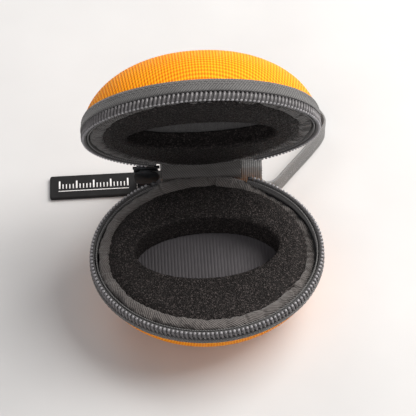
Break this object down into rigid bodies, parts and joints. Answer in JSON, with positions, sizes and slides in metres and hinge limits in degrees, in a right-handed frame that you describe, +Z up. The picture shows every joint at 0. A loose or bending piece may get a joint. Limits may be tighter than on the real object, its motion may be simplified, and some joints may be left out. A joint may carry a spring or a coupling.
{
  "type": "zippered watch travel case",
  "caption": "Oval moulded clamshell travel case for a watch, open, with a zipper round its rim, slotted foam inserts, a long zip pull and a wrist strap.",
  "frame": {"origin": "centre of the flat foot under the base, on the surface that the case stands on", "axes": "+Z up, +X to the right as the case opens towards the viewer, +Y towards the hinge at the back"},
  "size_m": [0.1299, 0.1561, 0.113],
  "materials": {
    "orange_nylon": "matte",
    "shell_foam": "matte",
    "liner_knit": "matte",
    "ribbed_knit": "matte",
    "black_foam": "matte",
    "grey_twill": "matte",
    "zipper_tape": "matte",
    "zipper_coil": "satin",
    "grey_thread": "matte",
    "grosgrain": "matte",
    "black_metal": "satin",
    "black_webbing": "matte",
    "tab_rubber": "satin",
    "white_thread": "matte",
    "grey_webbing": "matte"
  },
  "bodies": {
    "base": {"base_skin": "orange_nylon", "base_core": "shell_foam", "base_lining": "liner_knit", "base_floor_pad": "ribbed_knit", "base_foam_insert": "black_foam", "base_rim_roll": "grey_twill", "base_zipper_tape": "zipper_tape", "base_zipper_coil": "zipper_coil", "base_tape_stitching": "grey_thread", "hinge_strip": "grey_twill", "hinge_ribbon": "grosgrain", "hinge_stitching": "grey_thread", "zipper_tail": "zipper_tape", "zipper_stops": "black_metal", "strap_tack": "grey_thread"},
    "lid": {"lid_skin": "orange_nylon", "lid_core": "shell_foam", "lid_lining": "liner_knit", "lid_floor_pad": "ribbed_knit", "lid_foam_insert": "black_foam", "lid_rim_roll": "grey_twill", "lid_zipper_tape": "zipper_tape", "lid_zipper_coil": "zipper_coil", "lid_tape_stitching": "grey_thread"},
    "slider": {"slider_body": "black_metal", "slider_crown": "black_metal"},
    "puller": {"pull_link": "black_metal"},
    "tab": {"pull_loop": "black_webbing", "pull_tab": "tab_rubber", "pull_tab_stitching": "white_thread"},
    "strap": {"wrist_strap": "grey_webbing"}
  },
  "joints": [
    {"name": "lid_hinge", "type": "hinge", "parent": "base", "child": "lid", "pos_m": [0, 0.0438, 0.029], "axis": [-1, 0, 0], "range_deg": [-69, 38], "deforming": ["hinge_strip", "hinge_ribbon"]},
    {"name": "slider_travel", "type": "slide", "parent": "base", "child": "slider", "axis": [-1, 0, 0], "range_m": [0, 0.003]},
    {"name": "pull_swing", "type": "hinge", "parent": "slider", "child": "puller", "pos_m": [-0.0245, 0.04785, 0.0275], "axis": [1, 0, 0], "range_deg": [-30, 20]},
    {"name": "tab_swing", "type": "hinge", "parent": "puller", "child": "tab", "pos_m": [-0.0245, 0.05739, 0.01529], "axis": [1, 0, 0], "range_deg": [-35, 30]},
    {"name": "strap_swing", "type": "hinge", "parent": "base", "child": "strap", "pos_m": [0.025, 0.0476, 0.012], "axis": [0, 0, 1], "range_deg": [-45, 15]}
  ]
}
